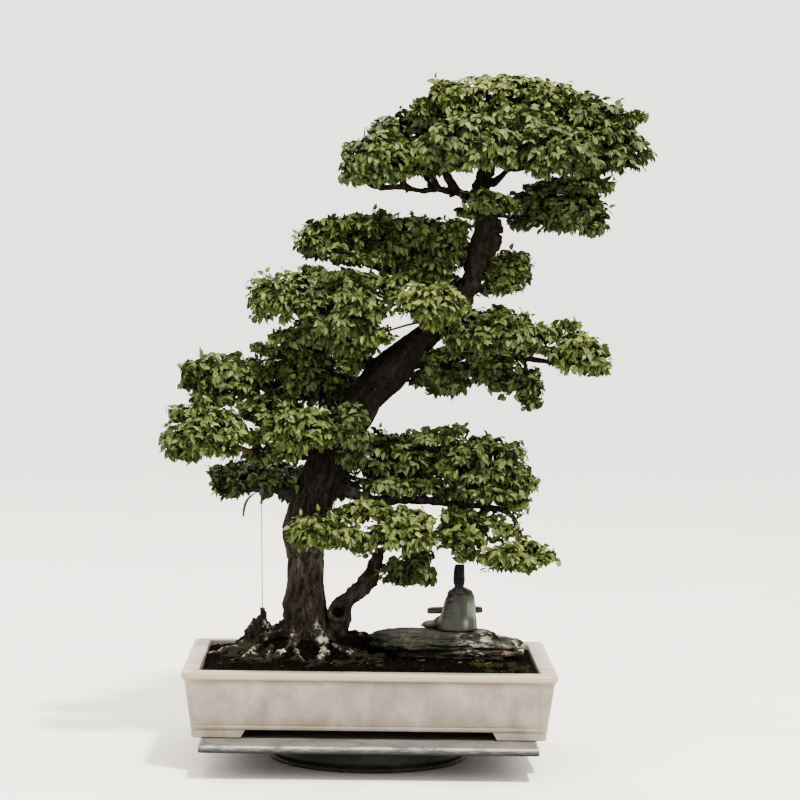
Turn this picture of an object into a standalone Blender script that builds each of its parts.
"""A leaning broadleaf bonsai in a shallow cream pot, on a slate slab and a round riser.

Metres, +Z up. The origin is the centre of the riser's underside, the front is -Y and +X is to the right.
The tree stands in a plain hole in the soil, with a flat rock and a small seated zither player beside it.
"""
import math
import random

import bmesh
import bpy
from mathutils import Matrix, Vector, noise
from mathutils.bvhtree import BVHTree

SEED = 3
SEAT = 0.0003

RISER_RADIUS = 0.147
RISER_HEIGHT = 0.0393
RISER_WAIST = 0.006
SLAB_SIZE = (0.484, 0.435, 0.0117)
SLAB_BEVEL = 0.002
SLAB_BASE = RISER_HEIGHT + SEAT
POT_BASE = SLAB_BASE + SLAB_SIZE[2] + SEAT

POT_HEIGHT = 0.0968
RIM_HALF = (0.270, 0.1725)
FOOT_HEIGHT = 0.0116
FOOT_RUN = 0.070
FOOT_DEPTH = 0.020
FOOT_SLANT = 0.008
FLOOR_TOP = 0.0255
CORNER_STEPS = 2
DRAIN_RADIUS = 0.012
DRAIN_X = 0.115
SCREEN_SIZE = 0.046
SCREEN_THICK = 0.0012
SCREEN_HOLES = 2
SCREEN_BAR = 0.0022

TRUNK_X = -0.095
SOIL_EDGE = 0.1405
SOIL_BED = 0.150
SOIL_MOUND = 0.160
MOUND_RADIUS = 0.058
MOUND_FOOT = 0.092
EDGE_RAMP = 0.045
SOIL_SPACING = 0.080
PLUG_RADIUS = 0.036
HOLE_RADIUS = 0.0378
PLUG_DEPTH = 0.045
ROOT_CLEAR = 0.0016
STOUT_ROOT = 0.0083
STOUT_LIMB = 0.0095

LEAF_LENGTH = 0.0385
LEAF_THICK = 0.0012
LEAF_FAN = 64
STALK = 0.42
STALK_HALF = 0.075
STALK_DIP = 0.27
SPRIG_LEAN = (0.35, 1.00)
SPRIG_HUB = 0.0040
CORE_GRID = (8, 5)
SMALL_CORE_GRID = (6, 4)
CORE_INSET = (0.012, 0.012, 0.010)
TIP_REACH = (0.90, 1.08)
HOLLOW_REACH = (0.60, 0.72)
UNDERSIDE = 0.78
TIP_DROOP = 0.006
SPRIG_CLEAR = 0.0012
SPRIG_AREA = 0.0038
SPRIGS_LEAST = 3
SPRIG_TRIES = 30
GOLDEN_TURN = 2.39996
SMALL_PAD = 0.050

KNOT_PLACE = (-0.047, -0.017, 0.2155)
ROCK_TOP = 0.187
FIGURE_PLACE = (0.136, 0.008, ROCK_TOP + SEAT)
HEAD_CENTRE = (0.001, 0.001, 0.0705)
ZITHER_HALF = 0.0415
ZITHER_THICK = 0.0025

# The guy wire holds the low left limb down to the old stump; a strap round the limb takes its upper end.
STRAP_X = -0.163
STRAP_HALF = 0.004
STRAP_THICK = 0.0012
TAIL_LENGTH = 0.013
WIRE_RADIUS = 0.0005
WIRE_SEAT = 0.0004

# The trunk's centre line, each point with the trunk's radius there.
TRUNK = [
    (-0.096, 0.000, 0.172, 0.0470), (-0.096, 0.000, 0.184, 0.0400), (-0.097, 0.000, 0.200, 0.0352),
    (-0.098, 0.000, 0.226, 0.0335), (-0.098, 0.001, 0.254, 0.0285), (-0.097, 0.002, 0.294, 0.0270),
    (-0.098, 0.003, 0.333, 0.0290), (-0.092, 0.003, 0.366, 0.0310), (-0.080, 0.001, 0.404, 0.0305),
    (-0.062, 0.000, 0.448, 0.0305), (-0.037, 0.000, 0.492, 0.0285), (-0.008, 0.000, 0.532, 0.0288),
    (0.014, -0.001, 0.560, 0.0305), (0.034, -0.003, 0.584, 0.0280), (0.057, -0.005, 0.608, 0.0222),
    (0.081, -0.007, 0.630, 0.0180), (0.106, -0.009, 0.653, 0.0155), (0.128, -0.010, 0.677, 0.0135),
    (0.142, -0.011, 0.700, 0.0130), (0.147, -0.012, 0.725, 0.0135), (0.152, -0.013, 0.752, 0.0145),
    (0.161, -0.015, 0.776, 0.0165), (0.165, -0.017, 0.796, 0.0165), (0.160, -0.019, 0.816, 0.0140),
    (0.154, -0.020, 0.836, 0.0115), (0.157, -0.020, 0.856, 0.0100), (0.166, -0.018, 0.876, 0.0085),
    (0.171, -0.014, 0.894, 0.0070),
]

# Surface roots: the way each leaves the trunk in degrees from +X, its length, first radius and sway.
ROOTS = [
    (184, 0.112, 0.0110, 0.10), (211, 0.098, 0.0085, -0.16), (238, 0.080, 0.0075, 0.18), (262, 0.070, 0.0075, -0.14),
    (289, 0.084, 0.0105, 0.16), (320, 0.062, 0.0065, -0.18), (154, 0.102, 0.0085, -0.15), (118, 0.084, 0.0080, 0.16),
    (78, 0.082, 0.0080, -0.15),
]

# Dead spikes of an old stump on the left root: foot, tip and the two radii.
SPIKES = [
    ((-0.166, -0.003, 0.166), (-0.160, -0.006, 0.219), 0.0125, 0.0030),
    ((-0.172, 0.004, 0.166), (-0.173, 0.002, 0.203), 0.0100, 0.0035),
    ((-0.182, -0.002, 0.164), (-0.187, -0.004, 0.190), 0.0090, 0.0030),
    ((-0.154, -0.008, 0.166), (-0.150, -0.012, 0.198), 0.0075, 0.0025),
    ((-0.136, -0.010, 0.168), (-0.135, -0.011, 0.194), 0.0050, 0.0022),
]

# Limbs that carry several pads: a route with a radius at each point.
LIMBS = {
    "second_trunk": [
        (-0.064, -0.004, 0.172, 0.018), (-0.050, -0.006, 0.186, 0.0165), (-0.043, -0.006, 0.203, 0.0160),
        (-0.043, -0.006, 0.222, 0.0165), (-0.031, -0.006, 0.240, 0.0130), (-0.012, -0.005, 0.256, 0.0112),
        (0.001, -0.004, 0.271, 0.0100), (0.008, -0.003, 0.292, 0.0085), (0.014, -0.006, 0.309, 0.0070)],
    "left_low": [
        (-0.095, 0.000, 0.366, 0.010), (-0.118, -0.007, 0.392, 0.0080), (-0.146, -0.010, 0.397, 0.0062),
        (-0.176, -0.008, 0.397, 0.0050), (-0.193, -0.002, 0.400, 0.0042)],
    "left_front": [
        (-0.066, -0.006, 0.452, 0.011), (-0.096, -0.026, 0.451, 0.0080), (-0.140, -0.040, 0.450, 0.0062),
        (-0.172, -0.047, 0.453, 0.0052)],
    "left_mid": [
        (-0.040, 0.004, 0.488, 0.012), (-0.072, 0.010, 0.504, 0.0085), (-0.108, 0.012, 0.508, 0.0068),
        (-0.146, 0.011, 0.515, 0.0056), (-0.166, 0.015, 0.521, 0.0050)],
    "left_high": [
        (0.014, 0.000, 0.562, 0.012), (-0.009, 0.003, 0.592, 0.0090), (-0.035, 0.012, 0.611, 0.0074),
        (-0.070, 0.014, 0.628, 0.0062), (-0.102, 0.008, 0.639, 0.0050)],
    "right_low": [
        (-0.080, 0.000, 0.408, 0.012), (-0.040, 0.001, 0.394, 0.0090), (0.000, 0.001, 0.382, 0.0075),
        (0.040, 0.000, 0.382, 0.0068), (0.082, 0.000, 0.383, 0.0062), (0.123, 0.000, 0.377, 0.0055),
        (0.176, -0.001, 0.373, 0.0048), (0.200, -0.008, 0.369, 0.0042)],
    "right_mid": [
        (0.036, -0.002, 0.586, 0.014), (0.077, 0.002, 0.588, 0.0085), (0.106, 0.004, 0.588, 0.0072),
        (0.131, 0.006, 0.597, 0.0058), (0.171, 0.010, 0.600, 0.0050), (0.217, 0.008, 0.597, 0.0045),
        (0.248, 0.003, 0.592, 0.0042), (0.263, 0.000, 0.590, 0.0040)],
    "upper_left": [
        (0.142, -0.010, 0.700, 0.009), (0.106, 0.010, 0.711, 0.0062), (0.060, 0.016, 0.715, 0.0052),
        (0.014, 0.024, 0.722, 0.0045), (-0.012, 0.028, 0.731, 0.0040)],
    "crown_left": [
        (0.155, -0.020, 0.836, 0.009), (0.134, -0.020, 0.838, 0.0066), (0.119, -0.019, 0.844, 0.0056),
        (0.099, -0.018, 0.845, 0.0050), (0.067, -0.017, 0.840, 0.0046), (0.042, -0.018, 0.846, 0.0044),
        (0.006, -0.022, 0.844, 0.0042), (-0.010, -0.024, 0.848, 0.0038)],
    "crown_right": [
        (0.156, -0.020, 0.850, 0.008), (0.200, -0.016, 0.861, 0.0056), (0.240, -0.012, 0.866, 0.0048),
        (0.262, -0.012, 0.871, 0.0042)],
}

# Foliage pads: name: (centre, half size with its leaves, route of the twig from a limb, stem inside the pad).
PADS = {
    "crown_left_front": ((0.000, -0.030, 0.892), (0.080, 0.056, 0.055),
                         None, [(-0.010, -0.024, 0.848), (-0.014, -0.026, 0.866)]),
    "crown_left_back": ((0.058, 0.078, 0.926), (0.082, 0.055, 0.052),
                        [(0.083, -0.017, 0.843), (0.074, 0.014, 0.862), (0.067, 0.034, 0.878)],
                        [(0.062, 0.046, 0.890), (0.057, 0.060, 0.908)]),
    "crown_top": ((0.176, 0.000, 0.962), (0.118, 0.064, 0.060),
                  None, [(0.171, -0.014, 0.894), (0.172, -0.010, 0.908), (0.170, -0.004, 0.925)]),
    "crown_front": ((0.138, -0.098, 0.906), (0.086, 0.052, 0.052),
                    [(0.162, -0.019, 0.868), (0.158, -0.042, 0.876), (0.154, -0.060, 0.883)],
                    [(0.150, -0.072, 0.890), (0.146, -0.086, 0.902)]),
    "crown_right": ((0.341, -0.010, 0.902), (0.084, 0.056, 0.056),
                    None, [(0.262, -0.012, 0.871), (0.276, -0.012, 0.878), (0.295, -0.011, 0.893)]),
    "crown_right_back": ((0.284, 0.086, 0.940), (0.080, 0.052, 0.052),
                         [(0.202, -0.015, 0.861), (0.222, 0.018, 0.878), (0.238, 0.044, 0.892)],
                         [(0.248, 0.058, 0.902), (0.260, 0.072, 0.918)]),
    "crown_right_front": ((0.262, -0.096, 0.896), (0.074, 0.050, 0.050),
                          [(0.222, -0.014, 0.863), (0.235, -0.040, 0.869), (0.243, -0.056, 0.873)],
                          [(0.250, -0.070, 0.880), (0.259, -0.083, 0.893)]),
    "crown_back": ((0.165, 0.122, 0.925), (0.080, 0.052, 0.046),
                   [(0.158, -0.018, 0.860), (0.158, 0.022, 0.867), (0.160, 0.058, 0.879), (0.161, 0.072, 0.886)],
                   [(0.162, 0.086, 0.893), (0.164, 0.102, 0.906)]),
    "neck": ((0.160, -0.056, 0.826), (0.034, 0.028, 0.022),
             [(0.160, -0.020, 0.806), (0.160, -0.038, 0.812)], [(0.160, -0.046, 0.817), (0.160, -0.053, 0.824)]),
    "under_crown_right": ((0.282, 0.022, 0.815), (0.082, 0.060, 0.042),
                          [(0.162, -0.016, 0.806), (0.190, -0.006, 0.805), (0.210, 0.003, 0.802)],
                          [(0.226, 0.010, 0.803), (0.246, 0.016, 0.812)]),
    "upper_left_tip": ((-0.068, 0.030, 0.767), (0.078, 0.058, 0.040),
                       None, [(-0.012, 0.028, 0.731), (-0.026, 0.030, 0.742), (-0.040, 0.030, 0.756)]),
    "upper_left": ((0.064, 0.032, 0.765), (0.082, 0.058, 0.050),
                   [(0.084, 0.013, 0.713), (0.078, 0.022, 0.719)], [(0.074, 0.026, 0.724), (0.068, 0.028, 0.737)]),
    "upper_back": ((0.006, 0.112, 0.765), (0.078, 0.054, 0.042),
                   [(0.032, 0.020, 0.719), (0.021, 0.056, 0.727), (0.015, 0.072, 0.733)],
                   [(0.010, 0.086, 0.742), (0.007, 0.098, 0.755)]),
    "upper_right": ((0.206, 0.010, 0.729), (0.046, 0.042, 0.037),
                    [(0.148, -0.010, 0.720), (0.166, -0.002, 0.716), (0.178, 0.004, 0.713)],
                    [(0.188, 0.008, 0.714), (0.200, 0.010, 0.724)]),
    "left_high_tip": ((-0.132, -0.010, 0.672), (0.076, 0.055, 0.046),
                      None, [(-0.102, 0.008, 0.639), (-0.113, 0.003, 0.646), (-0.124, -0.004, 0.660)]),
    "left_high": ((-0.046, -0.054, 0.664), (0.078, 0.054, 0.056),
                  [(-0.030, 0.010, 0.608), (-0.036, -0.012, 0.607), (-0.040, -0.028, 0.608)],
                  [(-0.042, -0.038, 0.613), (-0.043, -0.047, 0.632)]),
    "left_high_back": ((-0.075, 0.092, 0.680), (0.075, 0.055, 0.042),
                       [(-0.052, 0.014, 0.619), (-0.062, 0.042, 0.634), (-0.068, 0.060, 0.644)],
                       [(-0.072, 0.075, 0.654), (-0.074, 0.085, 0.668)]),
    "middle_front": ((0.081, -0.072, 0.678), (0.068, 0.050, 0.035),
                     [(0.103, -0.012, 0.650), (0.094, -0.036, 0.651), (0.087, -0.052, 0.652)],
                     [(0.084, -0.062, 0.656), (0.081, -0.070, 0.668)]),
    "right_mid": ((0.196, -0.036, 0.640), (0.070, 0.050, 0.046),
                  [(0.171, 0.009, 0.600), (0.180, -0.006, 0.601), (0.186, -0.016, 0.603)],
                  [(0.190, -0.022, 0.607), (0.196, -0.030, 0.620)]),
    "right_mid_tip": ((0.312, -0.010, 0.608), (0.062, 0.048, 0.048),
                      None, [(0.263, 0.000, 0.590), (0.276, -0.004, 0.592), (0.298, -0.008, 0.600)]),
    "right_mid_low": ((0.233, 0.010, 0.553), (0.038, 0.038, 0.036),
                      [(0.217, 0.008, 0.596), (0.226, 0.010, 0.586)], [(0.230, 0.010, 0.580), (0.233, 0.010, 0.566)]),
    "right_mid_back": ((0.185, 0.092, 0.650), (0.075, 0.054, 0.042),
                       [(0.140, 0.007, 0.597), (0.156, 0.040, 0.609), (0.165, 0.058, 0.617)],
                       [(0.172, 0.072, 0.627), (0.180, 0.086, 0.640)]),
    "fork_low": ((0.112, 0.032, 0.552), (0.044, 0.038, 0.024),
                 [(0.092, 0.003, 0.587), (0.099, 0.014, 0.576), (0.103, 0.022, 0.569)],
                 [(0.107, 0.026, 0.563), (0.111, 0.030, 0.555)]),
    "left_mid_tip": ((-0.218, 0.040, 0.556), (0.080, 0.055, 0.046),
                     None, [(-0.166, 0.015, 0.521), (-0.182, 0.024, 0.530), (-0.200, 0.034, 0.545)]),
    "left_mid": ((-0.104, 0.032, 0.562), (0.084, 0.055, 0.056),
                 [(-0.088, 0.012, 0.506), (-0.090, 0.018, 0.512)], [(-0.092, 0.024, 0.517), (-0.094, 0.029, 0.532)]),
    "left_front_tip": ((-0.245, -0.052, 0.480), (0.084, 0.055, 0.050),
                       None, [(-0.172, -0.047, 0.453), (-0.192, -0.050, 0.458), (-0.214, -0.051, 0.468)]),
    "left_front": ((-0.106, -0.078, 0.490), (0.072, 0.050, 0.043),
                   [(-0.110, -0.031, 0.450), (-0.111, -0.046, 0.450), (-0.112, -0.056, 0.452)],
                   [(-0.112, -0.064, 0.457), (-0.112, -0.070, 0.472)]),
    "trunk_front": ((-0.033, -0.082, 0.488), (0.042, 0.038, 0.033),
                    [(-0.054, -0.018, 0.466), (-0.045, -0.045, 0.466), (-0.040, -0.060, 0.468)],
                    [(-0.037, -0.070, 0.472), (-0.034, -0.078, 0.482)]),
    "left_low": ((-0.190, 0.050, 0.418), (0.080, 0.056, 0.040),
                 None, [(-0.193, -0.002, 0.400), (-0.201, 0.008, 0.407), (-0.206, 0.018, 0.420)]),
    "right_low": ((0.036, 0.044, 0.442), (0.074, 0.055, 0.050),
                  [(0.012, 0.000, 0.382), (0.022, 0.014, 0.391), (0.026, 0.021, 0.397)],
                  [(0.030, 0.027, 0.405), (0.036, 0.036, 0.420)]),
    "right_low_tip": ((0.172, 0.012, 0.437), (0.090, 0.058, 0.059),
                      [(0.125, 0.000, 0.377), (0.134, 0.003, 0.383)], [(0.140, 0.005, 0.388), (0.152, 0.009, 0.405)]),
    "right_low_back": ((0.100, 0.122, 0.430), (0.075, 0.052, 0.040),
                       [(0.052, 0.000, 0.382), (0.070, 0.040, 0.391), (0.080, 0.068, 0.399)],
                       [(0.087, 0.088, 0.407), (0.094, 0.108, 0.420)]),
    "low_front": ((-0.070, -0.084, 0.340), (0.066, 0.048, 0.034),
                  [(-0.092, -0.014, 0.333), (-0.083, -0.038, 0.329), (-0.078, -0.049, 0.330)],
                  [(-0.075, -0.057, 0.333), (-0.071, -0.070, 0.338)]),
    "low_mid": ((0.044, -0.074, 0.338), (0.064, 0.046, 0.036),
                [(0.012, -0.004, 0.304), (0.019, -0.026, 0.314), (0.024, -0.040, 0.319)],
                [(0.028, -0.052, 0.324), (0.032, -0.064, 0.332)]),
    "low_right": ((0.134, -0.014, 0.336), (0.054, 0.045, 0.036),
                  [(0.142, 0.000, 0.375), (0.138, -0.006, 0.368)], [(0.136, -0.008, 0.362), (0.133, -0.010, 0.346)]),
    "low_right_tip": ((0.224, -0.052, 0.312), (0.062, 0.048, 0.038),
                      [(0.196, -0.006, 0.370), (0.211, -0.020, 0.359), (0.215, -0.032, 0.350)],
                      [(0.218, -0.041, 0.342), (0.220, -0.049, 0.324)]),
    "second_tip": ((0.053, -0.010, 0.278), (0.050, 0.040, 0.026),
                   [(0.006, -0.003, 0.287), (0.018, -0.006, 0.283)],
                   [(0.026, -0.008, 0.281), (0.040, -0.010, 0.279)]),
    "back_low": ((-0.080, 0.107, 0.395), (0.078, 0.053, 0.038),
                 [(-0.092, 0.018, 0.368), (-0.088, 0.045, 0.369), (-0.085, 0.062, 0.372)],
                 [(-0.083, 0.078, 0.378), (-0.081, 0.092, 0.388)]),
    "back_mid": ((-0.010, 0.107, 0.520), (0.075, 0.053, 0.040),
                 [(-0.022, 0.018, 0.508), (-0.016, 0.046, 0.499), (-0.014, 0.062, 0.498)],
                 [(-0.012, 0.076, 0.502), (-0.011, 0.092, 0.512)]),
}


# The pads the light falls on are yellower, those inside and behind are darkest; the rest take the middle green.
BRIGHT_PADS = {
    "crown_top", "upper_left_tip", "left_high_tip", "middle_front", "left_mid_tip", "left_front_tip", "left_front",
    "low_front", "low_mid", "low_right_tip", "right_mid_tip"}
DARK_PADS = {
    "crown_back", "crown_left_back", "crown_right_back", "under_crown_right", "upper_back", "left_high_back",
    "right_mid_back", "right_mid_low", "fork_low", "trunk_front", "left_low", "right_low_back", "second_tip",
    "back_low", "back_mid"}


def clear_scene():
    for obj in list(bpy.data.objects):
        bpy.data.objects.remove(obj)


def new_collection(name, hidden=False):
    collection = bpy.data.collections.new(name)
    collection.hide_render = hidden
    bpy.context.scene.collection.children.link(collection)
    return collection


def material(name, colour, roughness, metallic=0.0):
    made = bpy.data.materials.new(name)
    made.use_nodes = True
    shader = made.node_tree.nodes["Principled BSDF"]
    shader.inputs["Base Color"].default_value = (*colour, 1.0)
    shader.inputs["Roughness"].default_value = roughness
    shader.inputs["Metallic"].default_value = metallic
    return made


def smoothstep(value):
    value = min(max(value, 0.0), 1.0)
    return value * value * (3.0 - 2.0 * value)


def add_object(name, mesh, collection, finish=None):
    obj = bpy.data.objects.new(name, mesh)
    collection.objects.link(obj)
    if finish:
        mesh.materials.clear()
        mesh.materials.append(finish)
    return obj


def mesh_from_bmesh(name, bm):
    bmesh.ops.recalc_face_normals(bm, faces=bm.faces)
    mesh = bpy.data.meshes.new(name)
    bm.to_mesh(mesh)
    bm.free()
    return mesh


def loft(name, rings, closed=False):
    """Skins rings of equal point count; open lofts get an end face on the first and last ring."""
    bm = bmesh.new()
    rows = [[bm.verts.new(point) for point in ring] for ring in rings]
    count = len(rows[0])
    pairs = list(zip(rows, rows[1:]))
    if closed:
        pairs.append((rows[-1], rows[0]))
    for lower, upper in pairs:
        for index in range(count):
            after = (index + 1) % count
            bm.faces.new((lower[index], lower[after], upper[after], upper[index]))
    if not closed:
        bm.faces.new(list(reversed(rows[0])))
        bm.faces.new(rows[-1])
    return mesh_from_bmesh(name, bm)


def evaluated_mesh(obj):
    depsgraph = bpy.context.evaluated_depsgraph_get()
    depsgraph.update()
    return bpy.data.meshes.new_from_object(obj.evaluated_get(depsgraph))


def boolean(obj, operation, other):
    modifier = obj.modifiers.new(operation.lower(), "BOOLEAN")
    modifier.operation = operation
    modifier.solver = "EXACT"
    if isinstance(other, bpy.types.Collection):
        modifier.operand_type = "COLLECTION"
        modifier.collection = other
    else:
        modifier.object = other


def fuse(name, meshes, collection, finish):
    """One Boolean union of the first mesh with a collection of the others, applied."""
    obj = add_object(name, meshes[0], collection)
    others = new_collection(name + "_repeats")
    for index, mesh in enumerate(meshes[1:]):
        add_object(f"{name}_{index}", mesh, others)
    boolean(obj, "UNION", others)
    mesh = evaluated_mesh(obj)
    for other in list(others.objects):
        bpy.data.objects.remove(other)
    bpy.data.collections.remove(others)
    obj.modifiers.clear()
    obj.data = mesh
    mesh.name = name
    mesh.materials.clear()
    mesh.materials.append(finish)
    return obj


def tube(name, route, resolution):
    """A tapering tube along points of (x, y, z, radius), as a closed mesh."""
    curve = bpy.data.curves.new(name, "CURVE")
    curve.dimensions = "3D"
    curve.bevel_depth = 1.0
    curve.bevel_resolution = resolution
    curve.use_fill_caps = True
    spline = curve.splines.new("POLY")
    spline.points.add(len(route) - 1)
    for point, (x, y, z, radius) in zip(spline.points, route):
        point.co = (x, y, z, 1.0)
        point.radius = radius
    obj = bpy.data.objects.new(name, curve)
    bpy.context.scene.collection.objects.link(obj)
    mesh = evaluated_mesh(obj)
    bpy.data.objects.remove(obj)
    bm = bmesh.new()
    bm.from_mesh(mesh)
    bmesh.ops.remove_doubles(bm, verts=bm.verts, dist=0.00001)
    bm.to_mesh(mesh)
    bm.free()
    return mesh


def tree_of(mesh):
    return BVHTree.FromPolygons([v.co for v in mesh.vertices], [tuple(p.vertices) for p in mesh.polygons])


def rounded_rectangle(half_x, half_y, radius, height):
    """A level rectangle with round corners, anticlockwise from the right side's lower corner."""
    points = []
    corners = ((1, -1, -90), (1, 1, 0), (-1, 1, 90), (-1, -1, 180))
    for sign_x, sign_y, start in corners:
        for step in range(CORNER_STEPS + 1):
            angle = math.radians(start + 90 * step / CORNER_STEPS)
            x = sign_x * (half_x - radius) + radius * math.cos(angle)
            y = sign_y * (half_y - radius) + radius * math.sin(angle)
            points.append(Vector((x, y, height)))
    return points


def make_riser(collection, finish):
    profile = [
        (RISER_RADIUS - 0.002, RISER_HEIGHT), (RISER_RADIUS, RISER_HEIGHT - 0.002),
        (RISER_RADIUS, RISER_HEIGHT - 0.010), (RISER_RADIUS - RISER_WAIST, RISER_HEIGHT - 0.014),
        (RISER_RADIUS - RISER_WAIST, 0.010), (RISER_RADIUS, 0.006), (RISER_RADIUS, 0.0)]
    steps = 24
    rings = []
    for radius, height in reversed(profile):
        turn = [2 * math.pi * step / steps for step in range(steps)]
        rings.append([Vector((radius * math.cos(a), radius * math.sin(a), height)) for a in turn])
    mesh = loft("riser", rings)
    mesh.shade_smooth()
    mesh.set_sharp_from_angle(angle=math.radians(30))
    return add_object("riser", mesh, collection, finish)


def make_slab(collection, finish):
    bm = bmesh.new()
    bmesh.ops.create_cube(bm, size=1.0)
    bmesh.ops.scale(bm, vec=SLAB_SIZE, verts=bm.verts)
    obj = add_object("slab", mesh_from_bmesh("slab", bm), collection, finish)
    obj.location = (0.0, 0.0, SLAB_BASE + SLAB_SIZE[2] / 2)
    bevel = obj.modifiers.new("bevel", "BEVEL")
    bevel.width = SLAB_BEVEL
    bevel.segments = 1
    return obj


# The pot's wall from the underside up and over the rim to the inner floor: inset from the rim's half size, height
# above the pot's base and corner radius.
POT_OUTSIDE = [
    (0.0150, FOOT_HEIGHT, 0.012), (0.0130, 0.0140, 0.013), (0.0128, 0.0172, 0.013), (0.0142, 0.0184, 0.012),
    (0.0126, 0.0198, 0.013), (0.0052, 0.0780, 0.017), (0.0044, 0.0830, 0.018), (0.0012, 0.0856, 0.020),
    (0.0000, 0.0885, 0.021), (0.0000, 0.0930, 0.021), (0.0014, 0.0960, 0.020), (0.0034, POT_HEIGHT, 0.018)]
POT_INSIDE = [
    (0.0225, POT_HEIGHT, 0.009), (0.0245, 0.0955, 0.008), (0.0255, 0.0920, 0.008),
    (0.0320, 0.0340, 0.010), (0.0370, FLOOR_TOP + 0.0020, 0.010), (0.0430, FLOOR_TOP, 0.008)]


def pot_ring(inset, height, radius, shrink=0.0):
    inset = inset + shrink
    return rounded_rectangle(RIM_HALF[0] - inset, RIM_HALF[1] - inset, radius, POT_BASE + height)


def foot_cutter(name, half_open, length, axis, cutters):
    """A slanted-sided block that opens the gap between two feet, running along the other axis."""
    low = -0.002
    high = FOOT_HEIGHT + 0.0004
    outline = [(-half_open, low), (half_open, low), (half_open - FOOT_SLANT, high), (-half_open + FOOT_SLANT, high)]
    rings = []
    for side in (-length, length):
        if axis == "Y":
            rings.append([Vector((along, side, POT_BASE + up)) for along, up in outline])
        else:
            rings.append([Vector((side, along, POT_BASE + up)) for along, up in outline])
    obj = add_object(name, loft(name, rings), cutters)
    obj.display_type = "WIRE"
    return obj


def make_feet(cutters):
    """A low frame under the pot's edge, cut through between its four corner feet."""
    outer = RIM_HALF[0] - 0.0145, RIM_HALF[1] - 0.0145
    top = FOOT_HEIGHT + 0.002
    rings = []
    for inset, height in ((0.0, 0.0), (0.0, top), (FOOT_DEPTH, top), (FOOT_DEPTH, 0.0)):
        rings.append(rounded_rectangle(outer[0] - inset, outer[1] - inset, 0.010, POT_BASE + height))
    feet = add_object("feet", loft("feet", rings, closed=True), cutters)
    boolean(feet, "DIFFERENCE", foot_cutter("foot_gap_front", outer[0] - FOOT_RUN, 0.3, "Y", cutters))
    boolean(feet, "DIFFERENCE", foot_cutter("foot_gap_side", outer[1] - FOOT_RUN, 0.4, "X", cutters))
    return feet


def make_drains(cutters):
    drains = []
    for side in (-1, 1):
        bm = bmesh.new()
        bmesh.ops.create_cone(bm, cap_ends=True, segments=12, radius1=DRAIN_RADIUS, radius2=DRAIN_RADIUS, depth=0.04)
        obj = add_object("drain", mesh_from_bmesh("drain", bm), cutters)
        obj.location = (side * DRAIN_X, 0.0, POT_BASE + FLOOR_TOP - 0.008)
        obj.display_type = "WIRE"
        drains.append(obj)
    return drains


def make_pot(collection, cutters, finish):
    rings = [pot_ring(*section) for section in POT_OUTSIDE + POT_INSIDE]
    mesh = loft("pot", rings)
    pot = add_object("pot", mesh, collection, finish)
    for drain in make_drains(cutters):
        boolean(pot, "DIFFERENCE", drain)
    feet = make_feet(cutters)
    feet.display_type = "WIRE"
    boolean(pot, "UNION", feet)
    mesh.shade_smooth()
    mesh.set_sharp_from_angle(angle=math.radians(30))
    return pot


def make_screen(index, collection, cutters, finish):
    """A square plastic mesh over a drain hole, its openings cut by one grid of posts."""
    bm = bmesh.new()
    bmesh.ops.create_cube(bm, size=1.0)
    bmesh.ops.scale(bm, vec=(SCREEN_SIZE, SCREEN_SIZE, SCREEN_THICK), verts=bm.verts)
    screen = add_object(f"drain_screen_{index}", mesh_from_bmesh("screen", bm), collection, finish)
    bm = bmesh.new()
    pitch = SCREEN_SIZE / (SCREEN_HOLES + 0.5)
    for column in range(SCREEN_HOLES):
        for row in range(SCREEN_HOLES):
            x = (column - (SCREEN_HOLES - 1) / 2) * pitch
            y = (row - (SCREEN_HOLES - 1) / 2) * pitch
            side = pitch - SCREEN_BAR
            place = Matrix.Translation((x, y, 0.0)) @ Matrix.Diagonal((side, side, 4 * SCREEN_THICK, 1.0))
            bmesh.ops.create_cube(bm, size=1.0, matrix=place)
    posts = add_object(f"screen_posts_{index}", mesh_from_bmesh("screen_posts", bm), cutters)
    posts.display_type = "WIRE"
    boolean(screen, "DIFFERENCE", posts)
    side = 1 if index else -1
    place = (side * DRAIN_X, 0.0, POT_BASE + FLOOR_TOP + SEAT + SCREEN_THICK / 2)
    screen.location = place
    posts.location = place
    return screen


def soil_height(x, y):
    """The soil's top: low at the pot's wall, level where the rock lies, mounded up to the trunk."""
    wall = min(RIM_HALF[0] - 0.0255 - abs(x), RIM_HALF[1] - 0.0255 - abs(y))
    from_trunk = math.hypot(x - TRUNK_X, y)
    bed = SOIL_EDGE + (SOIL_BED - SOIL_EDGE) * smoothstep(wall / EDGE_RAMP)
    rise = smoothstep((MOUND_FOOT - from_trunk) / (MOUND_FOOT - MOUND_RADIUS))
    return bed + (SOIL_MOUND - SOIL_BED) * rise


def side_steps(ring, spacing=SOIL_SPACING):
    """How many pieces each edge of a ring is divided into, so that none is much longer than the spacing."""
    return [max(1, round((end - start).length / spacing)) for start, end in zip(ring, ring[1:] + ring[:1])]


def divide(ring, steps):
    """The ring with its edges divided into the given numbers of pieces."""
    points = []
    for start, end, count in zip(ring, ring[1:] + ring[:1], steps):
        points.extend(start.lerp(end, step / count) for step in range(count))
    return points


def soil_wall_rings():
    """The soil's outer wall, a seat's width inside the pot, from the floor up to the soil's edge."""
    lip, knee, heel, foot = POT_INSIDE[-4:]
    part = (SOIL_EDGE - POT_BASE - knee[1]) / (lip[1] - knee[1])
    edge = [low + (high - low) * part for low, high in zip(knee, lip)]
    rings = [pot_ring(*section, shrink=SEAT * 1.3) for section in (foot, heel, knee, edge)]
    for point in rings[0]:
        point.z += SEAT
    steps = side_steps(rings[-1])
    return [divide(ring, steps) for ring in rings]


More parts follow.
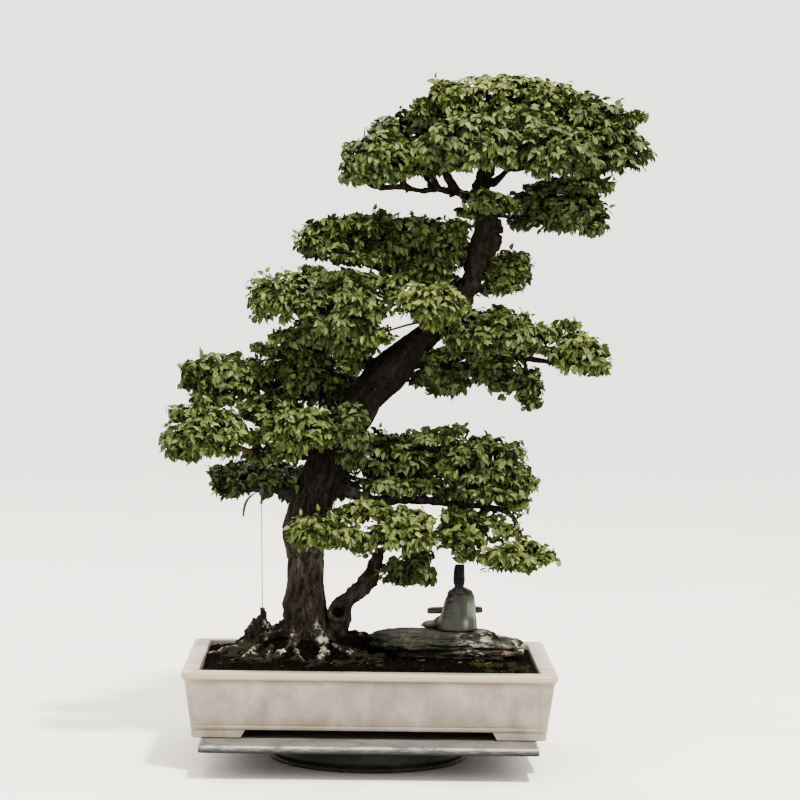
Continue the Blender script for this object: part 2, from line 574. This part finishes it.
def make_soil(collection, cutters, finish):
    rings = soil_wall_rings()
    centre = Vector((TRUNK_X, 0.0, 0.0))
    near = (HOLE_RADIUS, MOUND_RADIUS, 0.070, 0.081, MOUND_FOOT)
    edge = [Vector((point.x, point.y, 0.0)) for point in rings[-1]]
    for part in (0.66, 0.30):
        ring = []
        for point in edge:
            way = (point - centre).normalized()
            first = centre + way * near[-1]
            place = first.lerp(point, part)
            ring.append(Vector((place.x, place.y, soil_height(place.x, place.y))))
        rings.append(ring)
    for radius in reversed(near):
        ring = []
        for point in edge:
            place = centre + (point - centre).normalized() * radius
            ring.append(Vector((place.x, place.y, soil_height(place.x, place.y))))
        rings.append(ring)
    rings.append([Vector((point.x, point.y, SOIL_MOUND - PLUG_DEPTH)) for point in rings[-1]])
    soil = add_object("soil", loft("soil", rings), collection, finish)
    for side in (-1, 1):
        bm = bmesh.new()
        bmesh.ops.create_cube(bm, size=1.0)
        wide = SCREEN_SIZE + 4 * SEAT
        bmesh.ops.scale(bm, vec=(wide, wide, 2 * (SCREEN_THICK + 2 * SEAT)), verts=bm.verts)
        pocket = add_object("screen_pocket", mesh_from_bmesh("screen_pocket", bm), cutters)
        pocket.location = (side * DRAIN_X, 0.0, POT_BASE + FLOOR_TOP)
        pocket.display_type = "WIRE"
        boolean(soil, "DIFFERENCE", pocket)
    return soil


def trunk_frame(index):
    """The trunk's centre at a ring and two directions across it."""
    place = Vector(TRUNK[index][:3])
    before = Vector(TRUNK[max(index - 1, 0)][:3])
    after = Vector(TRUNK[min(index + 1, len(TRUNK) - 1)][:3])
    along = (after - before).normalized()
    if index == 0:
        along = Vector((0.0, 0.0, 1.0))
    back = (Vector((0.0, 1.0, 0.0)) - along * along.y).normalized()
    return place, back.cross(along), back


def trunk_mesh():
    """The trunk with its root plug: a fluted, slightly twisted loft that flares at the soil."""
    sides = 12
    turns = [2 * math.pi * step / sides for step in range(sides)]
    centre = Vector((TRUNK_X, 0.0, 0.0))
    rings = []
    for height in (SOIL_MOUND - PLUG_DEPTH + SEAT, SOIL_MOUND + 0.0008):
        ring = [centre + Vector((math.cos(a), math.sin(a), 0.0)) * PLUG_RADIUS for a in turns]
        rings.append([Vector((point.x, point.y, height)) for point in ring])
    lobes = [0.053 * (1.0 + 0.05 * math.cos(5 * a + 0.6)) for a in turns]
    collar = SOIL_MOUND + 0.0014
    rings.append([centre + Vector((math.cos(a) * r, math.sin(a) * r, collar)) for a, r in zip(turns, lobes)])
    for index, (_, _, height, radius) in enumerate(TRUNK):
        place, across, back = trunk_frame(index)
        flare = 0.09 * smoothstep((0.215 - height) / 0.05)
        flute = 0.035 + flare
        ring = []
        for angle in turns:
            lump = flute * math.cos(5 * angle + 0.6 + 6 * (height - 0.16))
            lump += 0.030 * math.sin(3 * angle - 9 * height)
            lump += 0.045 * noise.noise((math.cos(angle), math.sin(angle), height * 30))
            reach = radius * (1.0 + lump)
            ring.append(place + (across * math.cos(angle) + back * math.sin(angle)) * reach)
        rings.append(ring)
    return loft("trunk", rings)


def root_route(heading, length, radius, sway):
    """A surface root that follows the soil a hair above it, thinning to its tip."""
    route = []
    steps = 4
    start = 0.034
    for step in range(steps + 1):
        part = step / steps
        angle = math.radians(heading) + sway * math.sin(part * 5.0)
        reach = start + length * part
        x = TRUNK_X + reach * math.cos(angle)
        y = reach * math.sin(angle)
        thick = radius * (1.0 - 0.72 * part)
        buried = soil_height(x, y) + thick + ROOT_CLEAR
        lift = 0.016 * (1.0 - part * 3.0) if part < 0.33 else 0.0
        route.append((x, y, buried + lift, thick))
    return route


def knot_ring():
    """The callus round the knot hole, on the front of the second trunk."""
    bm = bmesh.new()
    rings = 10
    sides = 5
    rows = []
    for step in range(rings):
        turn = 2 * math.pi * step / rings
        row = []
        for side in range(sides):
            around = 2 * math.pi * side / sides
            reach = 0.0108 + 0.0036 * math.cos(around)
            place = (reach * math.cos(turn), 0.0042 * math.sin(around), reach * 1.12 * math.sin(turn))
            row.append(bm.verts.new(place))
        rows.append(row)
    for step in range(rings):
        row = rows[step]
        after = rows[(step + 1) % rings]
        for side in range(sides):
            upper = (side + 1) % sides
            bm.faces.new((row[side], after[side], after[upper], row[upper]))
    bmesh.ops.translate(bm, verts=bm.verts, vec=KNOT_PLACE)
    return mesh_from_bmesh("knot_ring", bm)


def knot_hole(cutters):
    bm = bmesh.new()
    bmesh.ops.create_icosphere(bm, subdivisions=1, radius=0.0082)
    bmesh.ops.translate(bm, verts=bm.verts, vec=Vector(KNOT_PLACE) + Vector((0.0, -0.001, 0.0)))
    hole = add_object("knot_hole", mesh_from_bmesh("knot_hole", bm), cutters)
    hole.display_type = "WIRE"
    return hole


def twig_route(points, first=0.0046, last=0.0034):
    steps = len(points) - 1
    return [(*point, first + (last - first) * step / steps) for step, point in enumerate(points)]


def make_trunk(collection, cutters, finish):
    meshes = [trunk_mesh()]
    for root in ROOTS:
        meshes.append(tube("root", root_route(*root), 1 if root[2] > STOUT_ROOT else 0))
    for foot, tip, wide, thin in SPIKES:
        middle = Vector(foot).lerp(Vector(tip), 0.5) + Vector((0.002, 0.0, 0.0))
        meshes.append(tube("spike", [(*foot, wide), (*middle, (wide + thin) * 0.55), (*tip, thin)], 0))
    for route in LIMBS.values():
        meshes.append(tube("limb", route, 1 if route[0][3] > STOUT_LIMB else 0))
    for _, _, twig, _ in PADS.values():
        if twig:
            meshes.append(tube("twig", twig_route(twig), 0))
    meshes.append(knot_ring())
    trunk = fuse("trunk", meshes, collection, finish)
    boolean(trunk, "DIFFERENCE", knot_hole(cutters))
    mesh = evaluated_mesh(trunk)
    trunk.modifiers.clear()
    trunk.data = mesh
    mesh.name = "trunk"
    return trunk


TRUNK_END = [(*place[:3], place[3]) for place in TRUNK[-2:]]
LIMB_ENDS = {**LIMBS, "trunk_end": TRUNK_END}


def stem_mesh(name):
    """The pad's own wood: it starts a seat's width past the limb's flat end and runs up into the core."""
    _, _, twig, stem = PADS[name]
    if twig:
        route = twig_route(twig)
        bends = stem
    else:
        route = next(limb for limb in LIMB_ENDS.values() if limb[-1][:3] == stem[0])
        bends = stem[1:]
    last = Vector(route[-1][:3])
    along = (last - Vector(route[-2][:3])).normalized()
    radius = route[-1][3]
    first = last + along * SEAT
    second = first + along * 0.003
    deep = Vector(bends[-1]).lerp(Vector(PADS[name][0]), 0.5)
    points = [first, second] + [Vector(point) for point in bends] + [deep]
    radii = [radius, radius] + [radius * 0.92] * (len(bends) + 1)
    return tube("stem", [(*point, thick) for point, thick in zip(points, radii)], 0)


def core_mesh(name, rng):
    """The pad's dense middle: a burr of drooping leaf tips and hollows between them, with a flatter underside."""
    centre, half, _, _ = PADS[name]
    size = [reach - less for reach, less in zip(half, CORE_INSET)]
    columns, levels = CORE_GRID if half[0] > SMALL_PAD else SMALL_CORE_GRID
    bm = bmesh.new()
    bmesh.ops.create_uvsphere(bm, u_segments=columns, v_segments=levels, radius=1.0)
    for vert in bm.verts:
        place = vert.co.copy()
        level = round((math.pi / 2 - math.asin(max(-1.0, min(1.0, place.z)))) / math.pi * levels)
        column = round(math.atan2(place.y, place.x) / math.tau * columns)
        is_tip = level in (0, levels) or (level + column) % 2 == 0
        reach = rng.uniform(*(TIP_REACH if is_tip else HOLLOW_REACH))
        low = UNDERSIDE if place.z < 0 else 1.0
        vert.co = Vector((place.x * size[0], place.y * size[1], place.z * size[2] * low)) * reach
        if is_tip and 0 < level < levels:
            vert.co.z -= TIP_DROOP
    bmesh.ops.triangulate(bm, faces=bm.faces)
    bmesh.ops.rotate(bm, verts=bm.verts, cent=(0, 0, 0), matrix=Matrix.Rotation(rng.uniform(0, 0.4), 3, "Z"))
    bmesh.ops.translate(bm, verts=bm.verts, vec=centre)
    return mesh_from_bmesh("core", bm)


def sprig_mesh(size, droop):
    """Three oval leaves fanned from one stalk, thickest at the hub and thinning to their edges.

    The stalk runs along +X from its root at -X, the blade's face is +Z. Upper and under side are split alike.
    """
    outline = [(-STALK, -STALK_HALF, -STALK_DIP)]
    for turn, length in ((-LEAF_FAN, 0.86), (0, 1.0), (LEAF_FAN, 0.86)):
        angle = math.radians(turn)
        for along, aside, lift in ((0.50, -0.27, 0.07), (1.0, 0.0, 0.0), (0.50, 0.27, 0.07)):
            x = length * (along * math.cos(angle) - aside * math.sin(angle))
            y = length * (along * math.sin(angle) + aside * math.cos(angle))
            outline.append((x, y, lift))
        if turn < LEAF_FAN:
            notch = math.radians(turn + LEAF_FAN / 2)
            outline.append((0.22 * math.cos(notch), 0.22 * math.sin(notch), 0.03))
    outline.append((-STALK, STALK_HALF, -STALK_DIP))
    bm = bmesh.new()
    rim = [bm.verts.new((x * size, y * size, size * (lift - droop * (x * x + y * y)))) for x, y, lift in outline]
    for side in (1.0, -1.0):
        hub = bm.verts.new((0.0, 0.0, side * LEAF_THICK))
        for index, point in enumerate(rim):
            bm.faces.new((hub, point, rim[(index + 1) % len(rim)]))
    return mesh_from_bmesh("sprig", bm)


def sprig_place(hit, normal, outward, rng):
    """A frame for a sprig: its stalk leans away from the core's surface, its blade lies over the surface."""
    drift = Vector((rng.uniform(-1, 1), rng.uniform(-1, 1), rng.uniform(-0.5, 0.7))) + outward * 0.7
    drift = (drift - normal * drift.dot(normal)).normalized()
    rise = rng.uniform(*SPRIG_LEAN)
    along = (normal * math.sin(rise) + drift * math.cos(rise)).normalized()
    face = normal + Vector((0.0, 0.0, 0.5)) + drift.cross(normal) * rng.uniform(-0.5, 0.5)
    face = (face - along * face.dot(along)).normalized()
    side = face.cross(along)
    turn = Matrix((along, side, face)).transposed().to_4x4()
    return Matrix.Translation(hit + normal * SPRIG_HUB) @ turn


def is_clear(mesh, blocks):
    """Whether a mesh keeps its clearance from every solid in the list."""
    tree = tree_of(mesh)
    for block in blocks:
        if tree.overlap(block):
            return False
        for vert in mesh.vertices:
            if block.find_nearest(vert.co, SPRIG_CLEAR)[0] is not None:
                return False
    return True


def pad_sprigs(name, core, blocks, count, rng):
    """Sprigs spread evenly over a core, each bent until it is clear of all else."""
    centre = Vector(PADS[name][0])
    half = PADS[name][1]
    core_tree = tree_of(core)
    made = []
    phase = rng.uniform(0, math.tau)
    for index in range(count):
        height = 1.0 - (index + 0.5) / count * 1.5
        angle = phase + index * GOLDEN_TURN
        level = math.sqrt(max(0.0, 1.0 - height * height))
        for attempt in range(SPRIG_TRIES):
            wobble = 0.03 * attempt
            way = Vector((level * math.cos(angle), level * math.sin(angle), height * 0.8))
            way += Vector((rng.uniform(-wobble, wobble), rng.uniform(-wobble, wobble), rng.uniform(-wobble, wobble)))
            way = Vector((way.x * half[0], way.y * half[1], way.z * half[2])).normalized()
            hit, normal, _, _ = core_tree.ray_cast(centre + way * 0.3, -way)
            sprig = sprig_mesh(LEAF_LENGTH * rng.uniform(0.90, 1.10), rng.uniform(0.02, 0.16))
            sprig.transform(sprig_place(hit, normal, Vector((way.x, way.y, 0.0)), rng))
            if is_clear(sprig, blocks):
                made.append(sprig)
                blocks.append(tree_of(sprig))
                break
    return made


def make_foliage(collection, trunk, finishes):
    rng = random.Random(SEED)
    cores = {name: core_mesh(name, rng) for name in PADS}
    stems = {name: stem_mesh(name) for name in PADS}
    core_trees = {name: tree_of(core) for name, core in cores.items()}
    blocks = [tree_of(trunk.data)] + [tree_of(stem) for stem in stems.values()]
    for name in PADS:
        half = PADS[name][1]
        area = half[0] * half[1] + (half[0] + half[1]) * half[2]
        count = max(SPRIGS_LEAST, round(area / SPRIG_AREA))
        others = [tree for other, tree in core_trees.items() if other != name]
        around = blocks + others
        mine = pad_sprigs(name, cores[name], around, count, rng)
        blocks.extend(around[len(blocks) + len(others):])
        tone = "bright" if name in BRIGHT_PADS else "deep" if name in DARK_PADS else "mid"
        fuse("leaves_" + name, [cores[name], stems[name]] + mine, collection, finishes[tone])


def rock_ring(height, reach_x, reach_y, shift_x, shift_y, rough):
    """One ledge of the slate: an uneven outline of straight breaks."""
    points = []
    count = 18
    for step in range(count):
        angle = 2 * math.pi * step / count
        lump = 1.0 + rough * noise.noise((2.2 * math.cos(angle), 2.2 * math.sin(angle), height * 70.0))
        x = shift_x + reach_x * lump * math.copysign(abs(math.cos(angle)) ** 0.8, math.cos(angle))
        y = shift_y + reach_y * lump * math.copysign(abs(math.sin(angle)) ** 0.8, math.sin(angle))
        points.append(Vector((x, y, height)))
    return points


def make_rock(collection, finish):
    base = SOIL_BED + SEAT
    rings = [
        rock_ring(base, 0.088, 0.040, 0.118, 0.000, 0.10),
        rock_ring(base + 0.004, 0.098, 0.046, 0.118, -0.001, 0.16),
        rock_ring(base + 0.011, 0.113, 0.051, 0.117, -0.001, 0.14),
        rock_ring(base + 0.015, 0.109, 0.047, 0.116, 0.000, 0.18),
        rock_ring(base + 0.021, 0.116, 0.050, 0.117, 0.000, 0.12),
        rock_ring(base + 0.025, 0.104, 0.044, 0.113, 0.001, 0.18),
        rock_ring(base + 0.031, 0.098, 0.043, 0.108, 0.002, 0.12),
        rock_ring(ROCK_TOP, 0.082, 0.037, 0.102, 0.003, 0.12)]
    return add_object("rock", loft("rock", rings), collection, finish)


def oval(height, half_x, half_y, shift_x=0.0, shift_y=0.0, count=10):
    place = Vector(FIGURE_PLACE)
    turns = [2 * math.pi * step / count for step in range(count)]
    return [place + Vector((shift_x + half_x * math.cos(a), shift_y + half_y * math.sin(a), height)) for a in turns]


def figure_robe():
    sections = [
        (0.0, 0.0262, 0.0225, 0.000, 0.002), (0.006, 0.0272, 0.0230, 0.000, 0.002),
        (0.016, 0.0258, 0.0200, -0.001, 0.001), (0.032, 0.0212, 0.0155, -0.002, 0.000),
        (0.049, 0.0172, 0.0110, 0.000, -0.001), (0.0545, 0.0150, 0.0095, 0.001, 0.000),
        (0.0590, 0.0090, 0.0075, 0.001, 0.001), (0.0640, 0.0052, 0.0052, 0.001, 0.001)]
    rings = [oval(height, half_x, half_y, x, y) for height, half_x, half_y, x, y in sections]
    return loft("robe", rings)


def figure_lap():
    """Crossed legs under the robe: the knees reach out to either side in front of the body."""
    sections = [
        (0.0, 0.0330, 0.0150, -0.004, 0.022), (0.005, 0.0385, 0.0165, -0.006, 0.022),
        (0.012, 0.0370, 0.0150, -0.006, 0.023), (0.018, 0.0300, 0.0115, -0.004, 0.024)]
    rings = [oval(height, half_x, half_y, x, y) for height, half_x, half_y, x, y in sections]
    return loft("lap", rings)


def figure_head():
    """A plain egg-shaped head that faces +Y."""
    place = Vector(FIGURE_PLACE) + Vector(HEAD_CENTRE)
    bm = bmesh.new()
    bmesh.ops.create_uvsphere(bm, u_segments=8, v_segments=6, radius=1.0)
    bmesh.ops.scale(bm, vec=(0.0082, 0.0088, 0.0102), verts=bm.verts)
    bmesh.ops.translate(bm, verts=bm.verts, vec=place)
    return mesh_from_bmesh("head", bm)


def figure_nose():
    place = Vector(FIGURE_PLACE) + Vector(HEAD_CENTRE)
    bm = bmesh.new()
    bmesh.ops.create_cone(bm, cap_ends=True, segments=4, radius1=0.0017, radius2=0.0006, depth=0.0052)
    bmesh.ops.rotate(bm, verts=bm.verts, cent=(0, 0, 0), matrix=Matrix.Rotation(math.radians(-8), 3, "X"))
    bmesh.ops.translate(bm, verts=bm.verts, vec=place + Vector((0.0, 0.0088, 0.0006)))
    return mesh_from_bmesh("nose", bm)


def figure_hat():
    """A tall soft cap that falls in a straight fold behind the head."""
    sections = [
        (0.0700, 0.0084, 0.0070, 0.001, -0.0035), (0.0760, 0.0090, 0.0092, 0.001, -0.001),
        (0.0800, 0.0084, 0.0086, 0.001, -0.001), (0.0880, 0.0076, 0.0062, 0.000, -0.002),
        (0.0950, 0.0066, 0.0048, 0.000, -0.002), (0.0985, 0.0050, 0.0034, 0.000, -0.002)]
    rings = [oval(height, half_x, half_y, x, y, 8) for height, half_x, half_y, x, y in sections]
    return loft("hat", rings)


def figure_sleeve(side):
    place = Vector(FIGURE_PLACE)
    route = [
        (place.x + side * 0.013, place.y + 0.000, place.z + 0.049, 0.0062),
        (place.x + side * 0.020, place.y + 0.007, place.z + 0.038, 0.0072),
        (place.x + side * 0.017, place.y + 0.018, place.z + 0.0330, 0.0062),
        (place.x + side * 0.010, place.y + 0.023, place.z + 0.0318, 0.0034)]
    return tube("sleeve", route, 0)


def make_figure(collection, finish):
    meshes = [figure_robe(), figure_lap(), figure_head(), figure_nose(), figure_hat()]
    meshes += [figure_sleeve(-1), figure_sleeve(1)]
    return fuse("figure", meshes, collection, finish)


def make_zither(collection, finish):
    """A long board across the lap, arched on top and waisted near one end."""
    place = Vector(FIGURE_PLACE) + Vector((-0.0105, 0.0300, 0.0180 + SEAT + ZITHER_THICK))
    section = [(-1.0, -1.0), (1.0, -1.0), (1.0, 0.35), (0.5, 1.0), (-0.5, 1.0), (-1.0, 0.35)]
    widths = ((-1.0, 0.0060), (-0.7, 0.0068), (-0.1, 0.0070), (0.25, 0.0062), (0.45, 0.0070), (1.0, 0.0064))
    rings = []
    for part, wide in widths:
        rings.append([place + Vector((part * ZITHER_HALF, wide * y, ZITHER_THICK * z)) for y, z in section])
    return add_object("zither", loft("zither", rings), collection, finish)


def make_strap(collection, finish):
    """A rubber band round the limb, with a short tail below that the wire hooks to."""
    start = Vector(LIMBS["left_low"][2][:3])
    end = Vector(LIMBS["left_low"][3][:3])
    along = (end - start).normalized()
    part = (start.x - STRAP_X) / (start.x - end.x)
    centre = start.lerp(end, part)
    up = (Vector((0, 0, 1)) - along * along.z).normalized()
    side = up.cross(along)
    inner = LIMBS["left_low"][2][3] + SEAT
    outer = inner + STRAP_THICK
    rings = []
    for offset, radius in ((-STRAP_HALF, inner), (-STRAP_HALF, outer), (STRAP_HALF, outer), (STRAP_HALF, inner)):
        turns = [2 * math.pi * step / 12 for step in range(12)]
        rings.append([centre + along * offset + (side * math.cos(a) + up * math.sin(a)) * radius for a in turns])
    band = loft("band", rings, closed=True)
    low = centre - up * (inner + 0.0006)
    tail_end = low - up * TAIL_LENGTH
    tail = tube("tail", [(*low, 0.0026), (*(low - up * 0.006), 0.0022), (*tail_end, 0.0016)], 0)
    return fuse("guy_strap", [band, tail], collection, finish), tail_end


def make_wire(collection, finish, top):
    """The straight wire between the strap's tail and the stump's tallest spike."""
    foot = Vector(SPIKES[0][1]) + Vector((0.0, 0.0, WIRE_SEAT))
    first = Vector(top) - Vector((0.0, 0.0, WIRE_SEAT))
    middle = first.lerp(foot, 0.5)
    wire = tube("guy_wire", [(*point, WIRE_RADIUS) for point in (first, middle, foot)], 1)
    return add_object("guy_wire", wire, collection, finish)


def main():
    clear_scene()
    parts = new_collection("broadleaf_bonsai")
    cutters = new_collection("cutters", hidden=True)
    bark = material("bark", (0.16, 0.125, 0.09), 0.9)
    leaves = {
        "deep": material("leaf_deep", (0.045, 0.10, 0.022), 0.45),
        "mid": material("leaf_mid", (0.085, 0.17, 0.030), 0.45),
        "bright": material("leaf_bright", (0.16, 0.27, 0.045), 0.45)}
    make_riser(parts, material("riser_wood", (0.035, 0.035, 0.036), 0.6))
    make_slab(parts, material("slate", (0.28, 0.29, 0.28), 0.75))
    make_pot(parts, cutters, material("cream_glaze", (0.78, 0.72, 0.62), 0.35))
    mesh_plastic = material("screen_plastic", (0.03, 0.05, 0.04), 0.6)
    for index in range(2):
        make_screen(index, parts, cutters, mesh_plastic)
    make_soil(parts, cutters, material("soil", (0.045, 0.035, 0.028), 0.95))
    trunk = make_trunk(parts, cutters, bark)
    make_foliage(parts, trunk, leaves)
    make_rock(parts, material("rock_slate", (0.10, 0.105, 0.10), 0.8))
    make_figure(parts, material("celadon", (0.26, 0.33, 0.27), 0.35))
    make_zither(parts, material("zither_brown", (0.10, 0.055, 0.035), 0.45))
    _, tail_end = make_strap(parts, material("strap_rubber", (0.03, 0.03, 0.03), 0.7))
    make_wire(parts, material("wire", (0.25, 0.22, 0.18), 0.5, 0.9), tail_end)


main()
